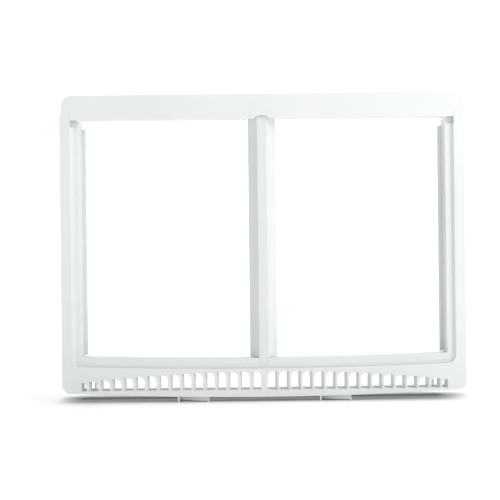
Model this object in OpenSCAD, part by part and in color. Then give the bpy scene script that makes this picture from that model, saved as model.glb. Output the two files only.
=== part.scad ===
// Cover frame for a pair of refrigerator vegetable drawers, with its glass panel not fitted.
// It stands upright on the two brackets under its bowed, vented front bar.
// X runs across the frame, Y from the glass side (-Y) to the underside (+Y),
// and Z runs up from the bracket feet to the rear bar.

/* [Overall] */
// Width across the two side bars
overall_w = 620; // [500:1:760]
// Height from the bracket feet to the top of the rear bar
overall_h = 471.5; // [380:0.5:580]
// Depth from the glass side to the underside of the rails
overall_d = 36; // [32:1:44]
// Thickness of the moulded walls
wall = 2.8; // [2.2:0.1:3.4]
// Depth of the outer skirt behind the glass side
skirt_d = 30; // [24:1:31]

/* [Front bar] */
// How far the front edge bows out in the middle
edge_bow = 9; // [0:0.5:16]
// Height of the front bar in the middle, from its edge to the window
front_bar_h = 59; // [54:0.5:76]
// How far the window side of the front bar bows out in the middle
window_bow = 5.2; // [0:0.2:10]
// Width of the glass ledge along the front bar
front_ledge_w = 15.5; // [10:0.5:16]
// Radius of the two front corners of the outline
front_corner_r = 13; // [4:1:16]
// Radius of the glass recess at its front corners
recess_r = 14; // [4:1:20]

/* [Side bars] */
// Width of the flat face of each side bar
side_face_w = 16; // [12:0.5:24]
// Width of the slope from the face down to the glass ledge
riser_w = 4.6; // [2:0.2:7]
// Width of the glass ledge along each side bar
side_ledge_w = 7.9; // [7.2:0.1:12]
// Depth of the glass ledge below the face
ledge_drop = 6; // [4:0.5:8]
// Length of the open pocket between each ledge and the rear bar
pocket_l = 10; // [8:1:25]
// Depth of the pocket floor below the face
pocket_drop = 9; // [8.8:0.1:14]

/* [Vents] */
// Number of vent slots in each half of the front bar
slots_per_half = 16; // [8:1:18]
// Distance from one slot to the next
slot_pitch = 17.8; // [15:0.1:20]
// Width of a slot
slot_w = 14.3; // [8:0.1:14.6]
// Width of the outermost slot of each half
end_slot_w = 8.2; // [5:0.1:14]
// Width of the post between the two halves
centre_post_w = 10.8; // [6:0.2:20]
// Height of the slot sills above the front edge in the middle
sill_h = 10.5; // [9:0.5:14]
// Height of the middle slots
slot_h = 28.6; // [20:0.2:32]
// Height of the step that stands behind each sill
sill_step = 1.8; // [0.5:0.1:3]
// How much lower the tops of the outermost slots are than those in the middle
slot_top_fall = 16.2; // [0:0.2:17]
// Radius of the inner top corner of a slot
slot_corner_r = 8; // [2:0.5:8]
// Depth of the fins between the slots
fin_d = 12; // [6:1:14]
// Lean of the fins towards the middle, in degrees
fin_lean = 16; // [0:1:22]

/* [Rear bar] */
// Height of the rear bar
rear_bar_h = 38; // [30:0.5:50]
// Radius of the two rear corners of the outline
rear_corner_r = 16; // [8:1:26]
// How far the ends of the rear bar stand in from the side bars
rear_inset = 2.2; // [0.5:0.1:3]
// How far the side bars reach past the lower edge of the rear bar
arm_lap = 10; // [6:0.5:14]

/* [Centre rail] */
// Width of the flat face of the centre rail
rail_face_w = 14.6; // [12:0.2:20]
// Width of the centre rail at the underside
rail_base_w = 43; // [30:1:60]
// Length of the rail that shows in the arched notch of the rear bar
rail_notch_h = 5; // [2:0.5:9]

/* [Drawer runners] */
// Thickness of the runner web
runner_t = 2.5; // [2:0.1:3]
// Width of the lip that the drawer slides on
runner_lip_w = 5.7; // [3:0.1:8]
// Draft of the runner web over its depth
runner_draft = 1.2; // [0:0.1:2]
// Number of screws along each runner
runner_screws = 4; // [2:1:6]

/* [Front brackets] */
// Drop of the bracket feet below the front edge
foot_drop = 7; // [5:0.5:12]
// Distance of each bracket from the middle of the frame
bracket_x = 109; // [60:1:150]
// Width of a bracket over its two legs
bracket_w = 48.5; // [36:0.5:70]
// Thickness of a bracket leg
bracket_leg_t = 3; // [2:0.1:4]
// Depth of a bracket
bracket_d = 24; // [16:1:28]

/* [Fit] */
// Gap around pieces that slot into each other
fit_gap = 0.3; // [0.1:0.05:0.6]
// Gap where the pieces of the glass side meet
seam_gap = 0.1; // [0.05:0.05:0.3]
// Shank diameter of the screws
screw_d = 3.4; // [2.8:0.1:4]
// Head diameter of the screws
screw_head_d = 6.8; // [5.5:0.1:7]

/* [Hidden] */
$fn = 32;

moulding_white = [0.94, 0.95, 0.945];
insert_white = [0.91, 0.92, 0.915];
screw_grey = [0.62, 0.63, 0.65];

// Reach of a cut past the faces that it goes through
over = 1;
// Straight pieces that the bowed edges are made of
bow_steps = 40;
// Turn between two points of a rounded corner
corner_step = 15;

// Depth positions
y_face = -overall_d / 2;
y_under = overall_d / 2;
y_skirt = y_face + skirt_d;
y_ledge = y_face + ledge_drop;
y_ledge_back = y_ledge + wall;
y_fins = y_face + fin_d;
y_pocket = y_face + pocket_drop;
y_pocket_back = y_pocket + wall;
y_shelf = y_face + 24;

// Positions across the frame, to the right of the middle
half_w = overall_w / 2;
x_recess = half_w - side_face_w;
x_ledge = x_recess - riser_w;
x_window = x_ledge - side_ledge_w;
x_skirt_in = half_w - wall;

// Heights
z_rear = overall_h - rear_bar_h;
z_arm_top = z_rear + arm_lap;
z_ledge_end = z_rear - pocket_l;
z_window = foot_drop + front_bar_h;
edge_k = edge_bow / (half_w * half_w);
window_k = window_bow / (x_window * x_window);
function edge_z(x) = foot_drop + edge_k * x * x;
function window_z(x) = z_window + window_k * x * x;

// Vent rows
x_vents = x_skirt_in - 6;
vent_half = centre_post_w / 2 + slot_pitch * slots_per_half;
sill_k = 1 / (half_w * half_w);
top_k = slot_top_fall / (vent_half * vent_half);
function sill_z(x) = foot_drop + sill_h + sill_k * x * x;
function slot_top_z(x) = foot_drop + sill_h + slot_h - top_k * x * x;
function slot_x(i) = centre_post_w / 2 + slot_pitch * i;
function slot_width(i) = i == slots_per_half - 1 ? end_slot_w : slot_w;
function fin_x(i) = slot_x(i) - (slot_pitch - slot_w) / 2;

// Screws and their bosses
bore_d = screw_d + 0.1;
hole_d = screw_d + 0.4;
boss_d = 7.4;
head_h = 2;
rib_t = 1.8;

// Runner
y_lip = y_under - wall;
y_flange = 0;
flange_t = 2.5;
x_boss = x_window + runner_t + boss_d / 2 + fit_gap;
x_flange = x_boss + 4.6;
z_web_0 = window_z(x_window) + fit_gap;
z_runner_0 = window_z(x_flange) + fit_gap;
z_runner_1 = z_rear - fit_gap;
z_flange_end = z_ledge_end - wall - 4;
runner_screw_z = [for (i = [0 : runner_screws - 1])
    z_runner_0 + 20 + (z_flange_end - z_runner_0 - 40) * i / (runner_screws - 1)];

// Centre rail
tongue_t = 4.8;
y_tongue_back = y_ledge + tongue_t;
tongue_half = rail_face_w / 2;
front_tongue_l = 12;
rail_pad_half = tongue_half + 6;
z_rail_0 = z_window + seam_gap;
z_rail_1 = z_rear + rail_notch_h + 1.5;
z_rear_tongue = z_rail_1 + 15;
rear_tongue_screw_z = z_rear_tongue - 7;
front_tongue_screw_z = z_window - wall - screw_head_d / 2 - 2 * fit_gap;
function rail_half(y) =
    (rail_face_w + (rail_base_w - rail_face_w) * (y - y_ledge) / (y_under - y_ledge)) / 2;

// Rear bar fixing
rear_half = half_w - rear_inset;
x_tab_in = x_window + runner_t + 0.4 + fit_gap;
z_tab_top = z_arm_top + 17;
rear_screw_z = z_arm_top + 9;
rear_screw_x = [x_recess - 4.5, x_recess + 6];
y_rear_low = y_face + 22;

// Front brackets
bracket_web_z = 1.2;
bracket_seat_z = 3.4;
bracket_slope = 12;
bracket_y0 = -bracket_d / 2 - 3.5;
bracket_screw_x = bracket_w / 4;
bracket_screw_y = 0.5;

// Carries a flat X-Z outline from y0 to y1
module slab(y0, y1) {
    rotate([90, 0, 0]) translate([0, 0, -y1]) linear_extrude(y1 - y0) children();
}

// Rod along Y
module rod_y(x, z, d, y0, y1) {
    translate([x, y0, z]) rotate([-90, 0, 0]) cylinder(d = d, h = y1 - y0);
}

// Block between two corners
module block(a, b) {
    translate(a) cube(b - a);
}

module both_sides() {
    children();
    mirror([1, 0, 0]) children();
}

// Points of an upright tray with a bowed bottom edge: half width, height of the
// bottom in the middle, its curvature, the radius of its two corners, and its top
function tray(half, z0, k, r, top) =
    let (xc = half - r, zc = z0 + k * xc * xc + r)
    concat(
        [for (i = [0 : bow_steps]) let (x = -xc + 2 * xc * i / bow_steps) [x, z0 + k * x * x]],
        [for (a = [-90 + corner_step : corner_step : 0]) [xc + r * cos(a), zc + r * sin(a)]],
        [[half, top], [-half, top]],
        [for (a = [180 : corner_step : 270 - corner_step]) [-xc + r * cos(a), zc + r * sin(a)]]);

// Outline of the frame, drawn in by d
function outline(d, top) = tray(half_w - d, foot_drop + d, edge_k, front_corner_r - d, top);

// Outline of the glass recess, grown by d
function recess(d, top) =
    tray(x_recess + d, z_window - front_ledge_w - d, window_k, recess_r + d, top);

// Outline of the window, grown by d
function window(d, top) = tray(x_window + d, z_window - d, window_k, 2 + d, top);

// Points of a band across the frame between two bowed lines
function band(half, z0, k0, z1, k1) = concat(
    [for (i = [0 : bow_steps]) let (x = -half + 2 * half * i / bow_steps) [x, z0 + k0 * x * x]],
    [for (i = [bow_steps : -1 : 0]) let (x = -half + 2 * half * i / bow_steps) [x, z1 + k1 * x * x]]);

// Hole of one vent slot, leaning towards the middle
module vent_slot(i) {
    x0 = slot_x(i);
    w = slot_width(i);
    xm = x0 + w / 2;
    z0 = sill_z(xm);
    z1 = slot_top_z(xm);
    r = min(slot_corner_r, z1 - z0 - over);
    outline = concat(
        [[x0, z0], [x0 + w, z0], [x0 + w, z1]],
        [for (a = [90 : corner_step : 180]) [x0 + r + r * cos(a), z1 - r + r * sin(a)]]);
    translate([xm, y_face, 0])
        rotate([0, 0, fin_lean])
            translate([-xm, 0, 0])
                slab(-over * 3, fin_d / cos(fin_lean) + over * 3) polygon(outline);
}

// Bar, skirt, ledge and side arms as one U-shaped moulding
module frame_shell() {
    slab(y_face, y_face + wall) difference() {
        polygon(outline(0, z_arm_top));
        polygon(recess(0, z_arm_top + over));
    }
    slab(y_face, y_skirt) difference() {
        polygon(outline(0, z_arm_top));
        polygon(outline(wall, z_arm_top + over));
    }
    slab(y_face, y_ledge_back) difference() {
        polygon(recess(wall, z_arm_top));
        polygon(recess(0, z_arm_top + over));
    }
    slab(y_ledge, y_ledge_back) difference() {
        polygon(recess(wall / 2, z_ledge_end));
        polygon(window(0, z_ledge_end + over));
    }
}

// Slope from the face of a side bar down to its ledge
module side_slope() {
    intersection() {
        translate([0, 0, foot_drop])
            linear_extrude(z_ledge_end - foot_drop)
                polygon([[x_recess + over, y_face], [x_recess, y_face],
                    [x_ledge, y_ledge], [x_ledge, y_ledge + over], [x_recess + over, y_ledge + over]]);
        slab(y_face, y_ledge + over) polygon(recess(over / 2, z_arm_top));
    }
}

// Slab that the vent slots are cut through, with the shelf behind the sills
module vent_slab() {
    z_sill = foot_drop + sill_h;
    slab(y_face, y_fins)
        polygon(band(x_vents, foot_drop, edge_k, z_sill + slot_h + wall, -top_k));
    slab(y_face, y_shelf)
        polygon(band(x_vents, z_sill - wall, sill_k, z_sill + sill_step, sill_k));
}

// Wall under the window edge of the front bar, from skirt to skirt
module window_wall() {
    slab(y_ledge, y_skirt)
        polygon(band(half_w - wall / 2, z_window - wall, window_k, z_window, window_k));
}

// Stiffening ribs of the front bar, in line with fins so that they leave the vents free
module front_ribs() {
    for (i = [3 : 3 : slots_per_half - 1]) {
        x = fin_x(i);
        block([x - rib_t / 2, y_ledge + over, slot_top_z(x)],
            [x + rib_t / 2, y_skirt - 4, window_z(x) - over]);
    }
    // The one rib that stands behind a vent slot
    x_end = slot_x(slots_per_half - 2) + slot_w * 0.45;
    block([x_end - rib_t / 2, y_fins - over, sill_z(x_end) - over],
        [x_end + rib_t / 2, y_skirt - 2, window_z(x_end) - over]);
}

// Ribs between the skirt and the recess wall of a side bar
module side_ribs() {
    rib_count = 6;
    for (i = [0 : rib_count - 1]) {
        z = z_runner_0 + 48 + (z_flange_end - z_runner_0 - 60) * i / (rib_count - 1);
        block([x_recess + over, y_face + over, z], [half_w - over, y_ledge + 16, z + rib_t]);
    }
}

// Floor of the pocket at the rear end of a side bar, and the tab that holds the rear bar
module rear_tab() {
    block([x_tab_in, y_pocket, z_ledge_end - wall], [half_w - over, y_pocket_back, z_arm_top]);
    slab(y_pocket, y_pocket_back) intersection() {
        polygon(rear_outline(wall + fit_gap, z_arm_top - over));
        translate([x_tab_in, z_arm_top - over]) square([half_w, z_tab_top - z_arm_top + over]);
    }
    block([x_window, y_ledge, z_ledge_end - wall], [x_recess + over, y_ledge_back, z_ledge_end]);
    block([x_tab_in, y_ledge, z_ledge_end - wall], [x_recess + over, y_pocket_back, z_ledge_end]);
    block([x_recess, y_ledge, z_ledge_end - wall], [x_recess + wall, y_pocket_back, z_arm_top]);
}

// Bosses under the side ledge that take the runner screws
module runner_bosses() {
    for (z = runner_screw_z) rod_y(x_boss, z, boss_d, y_ledge + over, y_flange);
}

// Boss between the front skirt and the sill shelf for each bracket screw
module bracket_bosses() {
    for (s = [-1, 1]) {
        x = bracket_x + s * bracket_screw_x;
        translate([x, bracket_screw_y, edge_z(x) + over])
            cylinder(d = boss_d, h = sill_z(x) - edge_z(x) - 2 * over);
    }
}

module frame_bores() {
    for (z = runner_screw_z) rod_y(x_boss, z, bore_d, y_ledge + over, y_flange + over);
    for (x = rear_screw_x) rod_y(x, rear_screw_z, hole_d, y_pocket - over, y_pocket_back + over);
    for (s = [-1, 1]) {
        x = bracket_x + s * bracket_screw_x;
        translate([x, bracket_screw_y, 0]) cylinder(d = bore_d, h = sill_z(x) - over);
    }
}

module cover_frame() {
    color(moulding_white)
    difference() {
        union() {
            frame_shell();
            vent_slab();
            window_wall();
            block([-rail_pad_half, y_tongue_back, z_window - front_ledge_w - wall],
                [rail_pad_half, y_tongue_back + wall, z_window]);
            block([-rail_pad_half, y_ledge, z_window - front_ledge_w - wall],
                [-tongue_half - seam_gap, y_tongue_back + over, z_window]);
            block([tongue_half + seam_gap, y_ledge, z_window - front_ledge_w - wall],
                [rail_pad_half, y_tongue_back + over, z_window]);
            both_sides() {
                side_slope();
                front_ribs();
                side_ribs();
                rear_tab();
                runner_bosses();
                bracket_bosses();
            }
        }
        // Notch for the front tongue of the centre rail
        block([-tongue_half - seam_gap, y_ledge - over, z_window - front_tongue_l - seam_gap],
            [tongue_half + seam_gap, y_tongue_back, z_window + over]);
        rod_y(0, front_tongue_screw_z, hole_d, y_tongue_back - over, y_tongue_back + wall + over);
        both_sides() {
            for (i = [0 : slots_per_half - 1]) vent_slot(i);
            frame_bores();
        }
    }
}

// Outline of the rear bar, drawn in by d, with its ends standing on the side arms
function rear_outline(d, z0) =
    let (xc = rear_half - rear_corner_r, zc = overall_h - rear_corner_r, r = rear_corner_r - d)
    concat(
        [[-rear_half + d, z0], [rear_half - d, z0]],
        [for (a = [0 : corner_step / 2 : 90]) [xc + r * cos(a), zc + r * sin(a)]],
        [for (a = [90 : corner_step / 2 : 180]) [-xc + r * cos(a), zc + r * sin(a)]]);

// Arched notch that the end of the centre rail shows in
module rail_arch() {
    half = rail_half(y_ledge) + 3.6;
    polygon(concat(
        [[half, z_rear - over], [-half, z_rear - over]],
        [for (a = [180 : -corner_step : 0]) [half * cos(a), z_rear + rail_notch_h * sin(a)]]));
}

module rear_bar() {
    x_low = x_recess - seam_gap;
    x_wall = x_window - 2 * fit_gap;
    x_notch = rail_base_w / 2 + over;
    z_seam = z_arm_top + seam_gap;
    ribs_per_half = 7;
    color(moulding_white)
    difference() {
        union() {
            slab(y_face, y_face + wall) difference() {
                union() {
                    polygon(rear_outline(0, z_seam));
                    translate([-x_low, z_rear]) square([2 * x_low, arm_lap + 2 * over]);
                }
                rail_arch();
            }
            slab(y_face, y_skirt) difference() {
                polygon(rear_outline(0, z_seam));
                polygon(rear_outline(wall, z_seam - over));
            }
            both_sides() {
                block([x_notch, y_face, z_rear], [x_wall, y_rear_low, z_rear + wall]);
                for (i = [0 : ribs_per_half - 1]) {
                    x = x_notch + 4 + (x_wall - x_notch - 10) * i / (ribs_per_half - 1);
                    block([x, y_face + over, z_rear + over], [x + rib_t, y_rear_low, overall_h - over]);
                }
                for (x = rear_screw_x) rod_y(x, rear_screw_z, boss_d, y_face + over, y_pocket);
            }
            rod_y(0, rear_tongue_screw_z, boss_d, y_face + over, y_ledge);
        }
        both_sides()
            for (x = rear_screw_x) rod_y(x, rear_screw_z, bore_d, y_face + 1.2, y_pocket + over);
        rod_y(0, rear_tongue_screw_z, bore_d, y_face + 1.2, y_ledge + over);
    }
}

// Hollow trapezoid that carries the middle of the glass and the two inner drawer flanges
module centre_rail() {
    y_in = y_ledge + wall;
    flank = wall * 1.09;
    rib_count = 6;
    color(insert_white)
    difference() {
        union() {
            translate([0, 0, z_rail_0]) linear_extrude(z_rail_1 - z_rail_0) difference() {
                polygon([[-rail_half(y_ledge), y_ledge], [rail_half(y_ledge), y_ledge],
                    [rail_half(y_under), y_under], [-rail_half(y_under), y_under]]);
                polygon([[-rail_half(y_in) + flank, y_in], [rail_half(y_in) - flank, y_in],
                    [rail_half(y_under + over) - flank, y_under + over],
                    [-rail_half(y_under + over) + flank, y_under + over]]);
            }
            for (i = [0 : rib_count])
                translate([0, 0, z_rail_0 + (z_rail_1 - z_rail_0 - rib_t) * i / rib_count])
                    linear_extrude(rib_t)
                        polygon([[-rail_half(y_ledge) + over, y_ledge + over],
                            [rail_half(y_ledge) - over, y_ledge + over],
                            [rail_half(y_shelf) - over, y_shelf],
                            [-rail_half(y_shelf) + over, y_shelf]]);
            block([-tongue_half, y_ledge, z_window - front_tongue_l],
                [tongue_half, y_tongue_back, z_rail_0 + over]);
            block([-tongue_half, y_ledge, z_rail_1 - over],
                [tongue_half, y_tongue_back, z_rear_tongue]);
        }
        rod_y(0, front_tongue_screw_z, bore_d, y_ledge + over, y_tongue_back + over);
        rod_y(0, rear_tongue_screw_z, hole_d, y_ledge - over, y_tongue_back + over);
    }
}

// Right-hand drawer runner: a web with a lip at its foot and a flange that is screwed on
module runner() {
    x_foot = x_window - runner_draft;
    difference() {
        translate([0, 0, z_web_0]) linear_extrude(z_runner_1 - z_web_0)
            polygon([[x_window, y_ledge_back], [x_foot, y_lip], [x_foot - runner_lip_w, y_lip],
                [x_foot - runner_lip_w, y_under], [x_foot + runner_t, y_under],
                [x_window + runner_t, y_flange + flange_t], [x_flange, y_flange + flange_t],
                [x_flange, y_flange], [x_window + runner_t, y_flange],
                [x_window + runner_t, y_ledge_back]]);
        block([x_foot - runner_lip_w - over, y_lip - over, z_ledge_end],
            [x_foot, y_under + over, z_rear + over]);
        block([x_window + runner_t, y_flange - over, z_web_0 - over],
            [x_flange + over, y_flange + flange_t + over, z_runner_0]);
        block([x_window + runner_t, y_flange - over, z_flange_end],
            [x_flange + over, y_flange + flange_t + over, z_rear]);
        for (z = runner_screw_z) rod_y(x_boss, z, hole_d, y_flange - over, y_flange + flange_t + over);
    }
}

module left_runner() { color(insert_white) mirror([1, 0, 0]) runner(); }
module right_runner() { color(insert_white) runner(); }

// Front bracket in the middle of x: two legs and a block whose glass side slopes back
// to the left, trimmed to the bow of the front edge
module front_bracket(x) {
    x0 = x - bracket_w / 2;
    x1 = x + bracket_w / 2;
    y1 = bracket_y0 + bracket_d;
    z1 = foot_drop + edge_bow;
    difference() {
        union() {
            block([x0, bracket_y0, 0], [x0 + bracket_leg_t, y1, z1]);
            block([x1 - bracket_leg_t, bracket_y0, 0], [x1, y1, z1]);
            translate([0, 0, bracket_web_z])
                linear_extrude(z1 - bracket_web_z)
                    polygon([[x0 + over, bracket_y0 + bracket_slope], [x1 - over, bracket_y0],
                        [x1 - over, y1], [x0 + over, y1]]);
        }
        slab(bracket_y0 - over, y1 + over) polygon(outline(0, z_window));
        for (s = [-1, 1])
            translate([x + s * bracket_screw_x, bracket_screw_y, -over]) {
                cylinder(d = hole_d, h = z1 + over);
                cylinder(d = screw_head_d + 0.6, h = bracket_seat_z + over);
            }
    }
}

// Both brackets slope the same way, so they are not mirrored
module left_front_bracket() { color(insert_white) front_bracket(-bracket_x); }
module right_front_bracket() { color(insert_white) front_bracket(bracket_x); }

// Pan-head screw standing on the origin: head below, shank of length l upwards, cross recess
module screw(l) {
    difference() {
        union() {
            translate([0, 0, -head_h]) cylinder(d = screw_head_d, h = head_h);
            translate([0, 0, -over / 10]) cylinder(d = screw_d, h = l - 1 + over / 10);
            translate([0, 0, l - 1]) cylinder(d1 = screw_d, d2 = screw_d / 2, h = 1);
        }
        for (turn = [0, 90]) rotate([0, 0, turn])
            translate([-screw_head_d / 4, -0.4, -head_h - over])
                cube([screw_head_d / 2, 0.8, over + 0.9]);
    }
}

// Screw driven towards the glass side, with its head seated at depth y
module screw_y(x, y, z, l) {
    translate([x, y, z]) rotate([90, 0, 0]) screw(l);
}

module rear_bar_screws() {
    color(screw_grey) both_sides() for (x = rear_screw_x)
        screw_y(x, y_pocket_back, rear_screw_z, y_pocket_back - y_face - 2);
}

module centre_rail_screws() {
    color(screw_grey) {
        screw_y(0, y_tongue_back + wall, front_tongue_screw_z, wall + tongue_t - 1.6);
        screw_y(0, y_tongue_back, rear_tongue_screw_z, y_tongue_back - y_face - 2);
    }
}

module runner_screw_row() {
    for (z = runner_screw_z) screw_y(x_boss, y_flange + flange_t, z, y_flange + flange_t - y_ledge - 2);
}

module left_runner_screws() { color(screw_grey) mirror([1, 0, 0]) runner_screw_row(); }
module right_runner_screws() { color(screw_grey) runner_screw_row(); }

module bracket_screw_pair() {
    for (s = [-1, 1]) {
        x = bracket_x + s * bracket_screw_x;
        translate([x, bracket_screw_y, bracket_seat_z]) screw(sill_z(x) - bracket_seat_z - 2);
    }
}

module left_bracket_screws() { color(screw_grey) mirror([1, 0, 0]) bracket_screw_pair(); }
module right_bracket_screws() { color(screw_grey) bracket_screw_pair(); }

cover_frame();
rear_bar();
centre_rail();
left_runner();
right_runner();
left_front_bracket();
right_front_bracket();
rear_bar_screws();
centre_rail_screws();
left_runner_screws();
right_runner_screws();
left_bracket_screws();
right_bracket_screws();
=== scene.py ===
# %% [markdown]
# # A white drawer cover frame for a refrigerator, glass not fitted
# The real object is a thin-walled plastic moulding about 620 mm wide. It stands upright here on
# two small brackets, seen from the side that carries the glass. Everything is in metres:
# X runs across the frame, Y from the glass side to the underside, and Z up.
# The CAD model brings the true shape. Blender adds what a moulding has and a CAD part lacks:
# soft edges that catch the light, a fine moulded grain, tool marks, and a studio to see it in.

import math

import bmesh
import bpy
import numpy as np
from mathutils import Matrix, Vector


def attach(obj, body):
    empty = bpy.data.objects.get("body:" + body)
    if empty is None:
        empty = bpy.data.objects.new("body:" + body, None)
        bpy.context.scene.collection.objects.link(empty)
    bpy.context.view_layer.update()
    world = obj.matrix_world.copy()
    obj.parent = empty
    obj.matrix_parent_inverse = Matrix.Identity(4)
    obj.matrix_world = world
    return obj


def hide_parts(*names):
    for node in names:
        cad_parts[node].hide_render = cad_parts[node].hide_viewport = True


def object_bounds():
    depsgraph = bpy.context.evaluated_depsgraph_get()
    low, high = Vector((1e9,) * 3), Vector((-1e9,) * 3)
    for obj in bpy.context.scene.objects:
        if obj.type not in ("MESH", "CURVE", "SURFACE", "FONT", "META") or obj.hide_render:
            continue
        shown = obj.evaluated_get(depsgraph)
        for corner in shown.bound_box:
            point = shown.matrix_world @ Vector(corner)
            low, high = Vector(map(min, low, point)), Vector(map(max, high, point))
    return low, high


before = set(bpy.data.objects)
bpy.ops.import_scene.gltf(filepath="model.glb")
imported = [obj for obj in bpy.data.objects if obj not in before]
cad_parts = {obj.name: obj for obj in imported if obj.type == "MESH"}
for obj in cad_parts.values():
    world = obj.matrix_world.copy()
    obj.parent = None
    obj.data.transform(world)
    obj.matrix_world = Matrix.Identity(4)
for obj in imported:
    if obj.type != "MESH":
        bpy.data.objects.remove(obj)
CAD_BOX = [list(corner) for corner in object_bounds()]
LOW, HIGH = Vector(CAD_BOX[0]), Vector(CAD_BOX[1])
print("nodes:", len(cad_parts), "size:", [round(v, 4) for v in HIGH - LOW])

# %% [markdown]
# ## Camera
# A flat frame is best seen square-on through a long lens, so that upright walls stay upright. The
# distance decides how much of the inner walls shows: closer shows more. The camera
# is aimed along +Y from a little left of the middle, and rolled by less than a degree, as a
# hand-set tripod would be.

# %% Camera
CAMERA_DISTANCE = 1.60
CAMERA_LEFT = 0.0199
CAMERA_HEIGHT = 0.2321
CAMERA_ROLL = math.radians(0.65)
LENS = 75.25

camera_data = bpy.data.cameras.new("camera")
camera_data.lens = LENS
camera_data.sensor_width = 36
camera = bpy.data.objects.new("camera", camera_data)
aim = Matrix.Rotation(math.radians(90), 4, "X") @ Matrix.Rotation(-CAMERA_ROLL, 4, "Z")
camera.matrix_world = Matrix.Translation((-CAMERA_LEFT, LOW.y - CAMERA_DISTANCE, CAMERA_HEIGHT)) @ aim
bpy.context.scene.collection.objects.link(camera)
bpy.context.scene.camera = camera
print("camera", [round(v, 3) for v in camera.matrix_world.translation])

# %% [markdown]
# ## A helper that turns a grid of points into a mesh
# Each new surface below is a function of two parameters, worked out for the whole grid at once.
# This helper joins neighbouring grid points with four-sided faces. A surface that comes back to
# its own start, such as a ring, is wrapped so that it has no seam.

# %% Grid mesh helper
def grid_faces(rows, columns, wrap=False):
    """Quads between points [i, j] of a grid numbered i * columns + j; wrap joins the last column on."""
    i, j = np.meshgrid(np.arange(rows - 1), np.arange(columns if wrap else columns - 1), indexing="ij")
    k = (j + 1) % columns
    low, high = i * columns, (i + 1) * columns
    return np.stack([low + j, low + k, high + k, high + j], -1).reshape(-1, 4)


def mesh_object(name, points, faces, smooth=True):
    """A mesh object at the origin from an (n, 3) array of points and a list of faces."""
    mesh = bpy.data.meshes.new(name)
    mesh.from_pydata(np.asarray(points, float).tolist(), [], [list(map(int, f)) for f in faces])
    mesh.shade_smooth() if smooth else mesh.shade_flat()
    made = bpy.data.objects.new(name, mesh)
    bpy.context.scene.collection.objects.link(made)
    return made

# %% [markdown]
# ## Studio sweep
# The goods stand on a sheet that curves up behind them, so that no horizon
# shows. The sweep is one profile, floor, quarter circle and wall, carried along X. A plane with a
# fold in it would show the fold as a line; the arc hides it.

# %% Studio sweep
SWEEP_HALF = 5.0
SWEEP_BACK = 2.6
SWEEP_RADIUS = 1.2
SWEEP_TOP = 5.0


def sweep_profile(steps=24):
    """(y, z) of the sheet: flat along z = 0, a quarter circle of the sweep radius, then straight up."""
    angle = np.linspace(-np.pi / 2, 0, steps)
    arc = np.stack([SWEEP_BACK + SWEEP_RADIUS * np.cos(angle), SWEEP_RADIUS * (1 + np.sin(angle))], -1)
    return np.vstack([[-SWEEP_HALF, 0], arc, [SWEEP_BACK + SWEEP_RADIUS, SWEEP_TOP]])


profile = sweep_profile()
across = np.linspace(-SWEEP_HALF, SWEEP_HALF, 9)
sweep_points = np.concatenate([
    np.broadcast_to(across[None, :, None], (len(profile), len(across), 1)),
    np.broadcast_to(profile[:, None, :], (len(profile), len(across), 2)),
], -1).reshape(-1, 3)
sweep = mesh_object("studio_sweep", sweep_points, grid_faces(len(profile), len(across)))
print("sweep:", len(sweep.data.polygons), "faces")

# %% [markdown]
# ## Materials
# Moulded plastic isn't one flat colour. The tool that it came from was spark-eroded, which leaves a fine matt
# grain; and the melt flows unevenly, which leaves faint broad clouds in the colour and the gloss. Each of
# these is a noise in Object coordinates, so it keeps its true size in millimetres and holds still when the
# camera moves.

# %% Node helper
def add_node(tree, kind, **settings):
    """A new node of that kind; a setting whose name is a socket sets the socket, otherwise the property."""
    node = tree.nodes.new(kind)
    for name, value in settings.items():
        socket = node.inputs.get(name.replace("_", " ").title())
        if socket is not None:
            socket.default_value = value
        else:
            setattr(node, name, value)
    return node


def noise(tree, scale, detail=3.0, roughness=0.5, stretch=(1, 1, 1)):
    """Noise in Object coordinates; scale is in cycles per metre."""
    place = add_node(tree, "ShaderNodeTexCoord")
    mapping = add_node(tree, "ShaderNodeMapping", Scale=stretch)
    texture = add_node(tree, "ShaderNodeTexNoise", Scale=scale, Detail=detail, Roughness=roughness)
    tree.links.new(place.outputs["Object"], mapping.inputs["Vector"])
    tree.links.new(mapping.outputs["Vector"], texture.inputs["Vector"])
    return texture.outputs["Fac"]


def ranged(tree, value, low, high, start=0.3, end=0.7):
    """value mapped from start..end to low..high, and held at the ends."""
    node = add_node(tree, "ShaderNodeMapRange")
    for name, number in (("From Min", start), ("From Max", end), ("To Min", low), ("To Max", high)):
        node.inputs[name].default_value = number
    tree.links.new(value, node.inputs["Value"])
    return node.outputs["Result"]


def mixed(tree, factor, first, second):
    """Colour between first and second by factor; either may be a colour or a socket."""
    node = tree.nodes.new("ShaderNodeMix")
    node.data_type = "RGBA"
    tree.links.new(factor, node.inputs["Factor"])
    for name, colour in (("A", first), ("B", second)):
        socket = [s for s in node.inputs if s.name == name and s.type == "RGBA"][0]
        if isinstance(colour, bpy.types.NodeSocket):
            tree.links.new(colour, socket)
        else:
            socket.default_value = (*colour, 1)
    return [s for s in node.outputs if s.type == "RGBA"][0]

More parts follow.
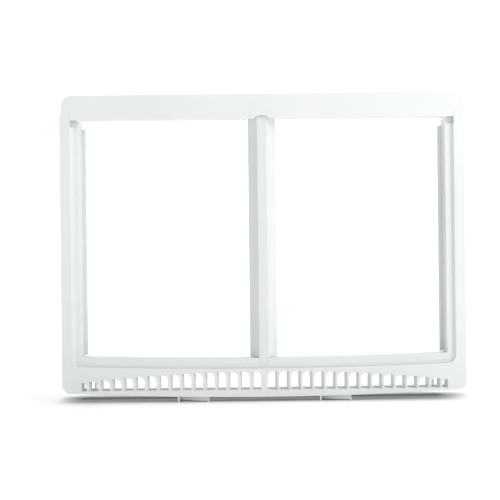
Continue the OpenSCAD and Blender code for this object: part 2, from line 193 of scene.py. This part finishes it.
# %% Moulded plastic
def moulded_plastic(name, light, shade, gloss, grain, grain_depth):
    """White moulded plastic: two close whites in broad clouds, with painted shade in deep corners, and a fine
    grain.
    """
    material = bpy.data.materials.new(name)
    material.use_nodes = True
    tree = material.node_tree
    shader = tree.nodes["Principled BSDF"]
    shader.inputs["IOR"].default_value = 1.49
    clouds = mixed(tree, ranged(tree, noise(tree, 9, 4, 0.55), 0, 1), light, shade)
    # Painted shade: the base colour turns darker where an ambient occlusion probe finds a corner or slot deep
    # and closed in.
    corner_shade_probe = add_node(tree, "ShaderNodeAmbientOcclusion", samples=8, Distance=0.007)
    openness = ranged(tree, corner_shade_probe.outputs["AO"], 0, 1, 0.1, 0.7)
    colour_with_painted_shade = mixed(tree, openness, tuple(c * 0.93 for c in shade), clouds)
    tree.links.new(colour_with_painted_shade, shader.inputs["Base Color"])
    flow = ranged(tree, noise(tree, 26, 3, 0.6, (1, 1, 0.35)), gloss - 0.05, gloss + 0.06)
    tree.links.new(flow, shader.inputs["Roughness"])
    fine = add_node(tree, "ShaderNodeBump", Strength=0.35, Distance=grain_depth)
    tree.links.new(noise(tree, grain, 2, 0.6), fine.inputs["Height"])
    waves = add_node(tree, "ShaderNodeBump", Strength=0.25, Distance=0.0004)
    tree.links.new(noise(tree, 18, 1, 0.4), waves.inputs["Height"])
    tree.links.new(fine.outputs["Normal"], waves.inputs["Normal"])
    tree.links.new(waves.outputs["Normal"], shader.inputs["Normal"])
    return material


frame_white = moulded_plastic("frame_white", (0.765, 0.785, 0.775), (0.735, 0.755, 0.75), 0.42, 2600, 0.00006)
rail_white = moulded_plastic("rail_white", (0.74, 0.755, 0.75), (0.71, 0.73, 0.725), 0.34, 3800, 0.00003)
print("plastics:", frame_white.name, rail_white.name)

# %% [markdown]
# The screws are zinc-plated steel. Plating gives a pale, slightly blue metal whose brightness is
# patchy, and turning the head leaves fine rings. A stretched noise stands in for the rings.

# %% Zinc-plated steel
def zinc_plated_steel():
    """Metal with a patchy plated colour and fine scratches across it."""
    material = bpy.data.materials.new("zinc_plated_steel")
    material.use_nodes = True
    tree = material.node_tree
    shader = tree.nodes["Principled BSDF"]
    shader.inputs["Metallic"].default_value = 1.0
    patches = ranged(tree, noise(tree, 420, 4, 0.6), 0, 1)
    tree.links.new(mixed(tree, patches, (0.62, 0.63, 0.65), (0.50, 0.51, 0.54)), shader.inputs["Base Color"])
    scratches = noise(tree, 3000, 2, 0.5, (1, 1, 0.1))
    tree.links.new(ranged(tree, scratches, 0.28, 0.46), shader.inputs["Roughness"])
    bump = add_node(tree, "ShaderNodeBump", Strength=0.3, Distance=0.00003)
    tree.links.new(scratches, bump.inputs["Height"])
    tree.links.new(bump.outputs["Normal"], shader.inputs["Normal"])
    return material


zinc = zinc_plated_steel()

# %% [markdown]
# ## Soft edges on the mouldings
# No moulded edge is perfectly sharp: the tool is cut with a small radius, and the light that it
# catches is what makes plastic look like plastic. The edges could be rounded in the shader, but
# then the exported mesh would stay sharp. So each moulding is a merged copy of its CAD node, its
# flat faces joined up, with a Bevel that rounds every edge sharper than the limit. Where two pieces
# meet flush on the glass side, the edges stay nearly sharp, or the seam would open into a groove.
# Weighted normals keep the broad flats flat in shading next to their narrow rounded edges.

# %% Softened copies of the CAD mouldings
SHARP = math.radians(38)
FLAT = math.radians(0.4)
WELD = 0.00005

# The rear bar meets the side arms at this height, and runs in between them below it
SEAM_Z = 0.4435
SEAM_HALF_X = 0.294
REAR_BAR_LOW_Z = 0.4334
SEAM_REACH = 0.0006
# The front tongue of the centre rail lies within these limits
TONGUE_HALF_X = 0.0085
TONGUE_LOW_Z = 0.05
TONGUE_TOP_Z = 0.068
# Share of the edge radius that a flush seam keeps
FINE = 0.15


def at_a_seam(point):
    """Whether a point lies where two pieces meet flush on the glass side."""
    x, z = abs(point.x), point.z
    rear = abs(z - SEAM_Z) < SEAM_REACH and x > SEAM_HALF_X - 0.001
    side = abs(x - SEAM_HALF_X) < SEAM_REACH and REAR_BAR_LOW_Z < z < SEAM_Z + 0.001
    tongue = x < TONGUE_HALF_X and TONGUE_LOW_Z < z < TONGUE_TOP_Z
    return rear or side or tongue


def softened(node, material, width, join_flat=True):
    """A welded and cleaned copy of a CAD node, its sharp edges rounded to the given width in metres."""
    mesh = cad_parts[node].data.copy()
    mesh.name = node + "_moulding"
    work = bmesh.new()
    work.from_mesh(mesh)
    bmesh.ops.remove_doubles(work, verts=work.verts, dist=WELD)
    bmesh.ops.dissolve_degenerate(work, edges=work.edges, dist=WELD)
    if join_flat:
        bmesh.ops.dissolve_limit(
            work, angle_limit=FLAT, verts=work.verts, edges=work.edges, use_dissolve_boundaries=False
        )
    weight = work.edges.layers.float.new("bevel_weight_edge")
    for edge in work.edges:
        if len(edge.link_faces) == 2 and edge.calc_face_angle(0) > SHARP:
            edge[weight] = FINE if all(at_a_seam(vert.co) for vert in edge.verts) else 1
    work.to_mesh(mesh)
    work.free()
    mesh.materials.clear()
    mesh.materials.append(material)
    mesh.shade_smooth()
    made = bpy.data.objects.new(node + "_moulding", mesh)
    bpy.context.scene.collection.objects.link(made)
    bevel = made.modifiers.new("edge_radius", "BEVEL")
    bevel.width = width
    bevel.segments = 2
    bevel.limit_method = "WEIGHT"
    bevel.use_clamp_overlap = False
    bevel.loop_slide = False
    even = made.modifiers.new("even_normals", "WEIGHTED_NORMAL")
    even.weight = 50
    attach(made, "root")
    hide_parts(node)
    print(made.name, len(mesh.polygons), "faces")
    return made


# The big frame keeps its triangles: its vented face has too many holes to join into one clean face
FRAME_EDGE = 0.0003
RAIL_EDGE = 0.0005
softened("cover_frame", frame_white, FRAME_EDGE, join_flat=False)
softened("rear_bar", frame_white, FRAME_EDGE)
for rail in ("centre_rail", "left_runner", "right_runner", "left_front_bracket", "right_front_bracket"):
    softened(rail, rail_white, RAIL_EDGE)

# %% Screws keep their CAD meshes
for name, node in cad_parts.items():
    if name.endswith("screws"):
        node.data.materials.clear()
        node.data.materials.append(zinc)

# %% [markdown]
# ## Light
# The light is bright and high-key: the sheet burns out to white, and the frame is held just
# below it. One large soft key stands to the upper right, so walls that face left are the darkest
# and the right flank of the rail is the brightest. The air around gives a fill that is weaker on
# the left, as it is beside a dark studio wall.

# %% Lights
# Strength of the surrounding light from the left and from the right
AIR_LEFT = 0.38
AIR_RIGHT = 0.90


def area_light(name, place, target, size, power):
    """A square soft light at place, turned to face target."""
    data = bpy.data.lights.new(name, "AREA")
    data.shape = "SQUARE"
    data.size = size
    data.energy = power
    light = bpy.data.objects.new(name, data)
    turn = (Vector(target) - Vector(place)).to_track_quat("-Z", "Y")
    light.matrix_world = Matrix.Translation(place) @ turn.to_matrix().to_4x4()
    bpy.context.scene.collection.objects.link(light)
    return light


middle = (LOW + HIGH) / 2
upper_right = (HIGH.x, LOW.y, HIGH.z * 0.8)
area_light("key", (0.98, -0.85, 0.85), upper_right, 0.5, 5.2)
area_light("front_fill", (-0.3, -2.6, 1.0), middle, 2.0, 5)
area_light("top", (0.2, 0.2, 2.2), (0, 0, 0), 1.6, 9)

world = bpy.data.worlds.new("studio_air")
world.use_nodes = True
air = world.node_tree
background = air.nodes["Background"]
background.inputs["Color"].default_value = (0.985, 0.995, 1.0, 1)
toward = add_node(air, "ShaderNodeTexCoord")
split = add_node(air, "ShaderNodeSeparateXYZ")
air.links.new(toward.outputs["Generated"], split.inputs["Vector"])
air.links.new(ranged(air, split.outputs["X"], AIR_LEFT, AIR_RIGHT, -0.9, 0.9), background.inputs["Strength"])
bpy.context.scene.world = world

# %% [markdown]
# The sheet is paper lit harder than the subject. A little emission in its own shader does what a
# second row of lamps would do, without adding noise. Such an even light leaves almost no shadow, so
# the paper is also darkened in a soft strip under and behind the frame. That strip is painted, not
# cast: it belongs to the stage, and it would have to move with the frame.

# %% Contact shade
SHADE_FRONT = (-0.055, 0.03)
SHADE_BACK = (0.04, 0.075)
SHADE_LEFT = (-0.325, -0.285)
SHADE_RIGHT = (0.27, 0.33)


def times(tree, first, second):
    """The product of two number sockets."""
    node = add_node(tree, "ShaderNodeMath", operation="MULTIPLY")
    tree.links.new(first, node.inputs[0])
    tree.links.new(second, node.inputs[1])
    return node.outputs[0]


def contact_shade(tree):
    """1 on the paper right under the front bar, fading to 0 a few centimetres in front, behind and beside."""
    at = add_node(tree, "ShaderNodeTexCoord")
    part = add_node(tree, "ShaderNodeSeparateXYZ")
    tree.links.new(at.outputs["Object"], part.inputs["Vector"])
    front = ranged(tree, part.outputs["Y"], 0, 1, *SHADE_FRONT)
    behind = ranged(tree, part.outputs["Y"], 1, 0, *SHADE_BACK)
    left = ranged(tree, part.outputs["X"], 0, 1, *SHADE_LEFT)
    right = ranged(tree, part.outputs["X"], 1, 0, *SHADE_RIGHT)
    return times(tree, times(tree, times(tree, front, front), behind), times(tree, left, right))


# %% Sweep material
paper = bpy.data.materials.new("paper_sweep")
paper.use_nodes = True
paper_shader = paper.node_tree.nodes["Principled BSDF"]
paper_shader.inputs["Roughness"].default_value = 0.9
paper_shader.inputs["Base Color"].default_value = (0.92, 0.92, 0.92, 1)
paper_shader.inputs["Emission Color"].default_value = (1, 1, 1, 1)
place = add_node(paper.node_tree, "ShaderNodeTexCoord")
reach = add_node(paper.node_tree, "ShaderNodeVectorMath", operation="LENGTH")
paper.node_tree.links.new(place.outputs["Object"], reach.inputs[0])
glow = ranged(paper.node_tree, reach.outputs["Value"], 0.16, 0.5, 0.35, 1.0)
sweep.data.materials.append(paper)

shade = contact_shade(paper.node_tree)
tint = mixed(paper.node_tree, shade, (0.92, 0.92, 0.92), (0.09, 0.09, 0.092))
paper.node_tree.links.new(tint, paper_shader.inputs["Base Color"])
lit = times(paper.node_tree, glow, ranged(paper.node_tree, shade, 1, 0, 0, 0.35))
paper.node_tree.links.new(lit, paper_shader.inputs["Emission Strength"])

bpy.context.scene.view_settings.view_transform = "Standard"
bpy.context.scene.view_settings.look = "None"
